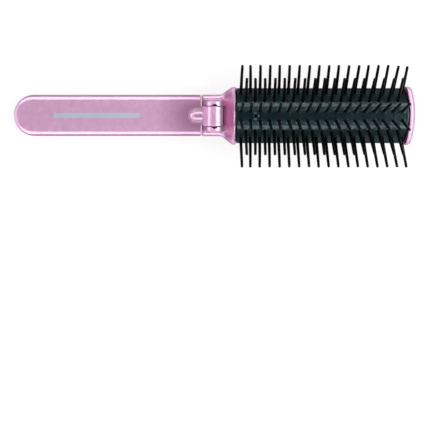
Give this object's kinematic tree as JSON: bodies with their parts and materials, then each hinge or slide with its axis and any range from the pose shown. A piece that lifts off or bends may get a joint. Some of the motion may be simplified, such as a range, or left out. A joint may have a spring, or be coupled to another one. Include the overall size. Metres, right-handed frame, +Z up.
{
  "type": "folding hairbrush with mirror",
  "caption": "Pocket hairbrush whose handle folds over its fanned nylon pins on an offset hinge, with a mirror set into the back of the head.",
  "frame": {"origin": "centre of the unfolded brush's footprint, on the plane it lies on", "axes": "+X towards the tip of the head, +Y across it, +Z up out of the bristle side"},
  "size_m": [0.2012, 0.049, 0.0378],
  "materials": {
    "pearl_shell": "pearlescent pink moulding with a fine metallic flake",
    "pearl_small": "pearlescent pink, small mouldings",
    "mirror_glass": "silvered plate with a polished edge",
    "adhesive_tape": "thin black double-sided sheet",
    "black_rubber": "smooth black cushion with a soft gloss",
    "black_nylon": "moulded black nylon pins",
    "spring_steel": "drawn wire"
  },
  "bodies": {
    "head": {"head_frame": "pearl_shell", "back_cover": "pearl_shell", "end_cap": "pearl_shell", "mirror": "mirror_glass", "mirror_tape": "adhesive_tape", "bristle_cushion": "black_rubber", "pins_left_outer": "black_nylon", "pins_left_middle": "black_nylon", "pins_left_inner": "black_nylon", "pins_right_inner": "black_nylon", "pins_right_middle": "black_nylon", "pins_right_outer": "black_nylon"},
    "handle": {"handle_inner_shell": "pearl_shell", "handle_outer_shell": "pearl_shell", "detent_spring": "spring_steel", "detent_bush": "pearl_small"},
    "detent": {"detent_pin": "pearl_small"}
  },
  "joints": [
    {"name": "fold", "type": "hinge", "parent": "head", "child": "handle", "pos_m": [0.0004, 0, 0.023], "axis": [0, 1, 0], "range_deg": [0, 180]},
    {"name": "detent_press", "type": "slide", "parent": "handle", "child": "detent", "axis": [0, 0, 1], "range_m": [0, 0.001], "stiffness_N_per_m": 400, "deforming": ["detent_spring"]}
  ]
}
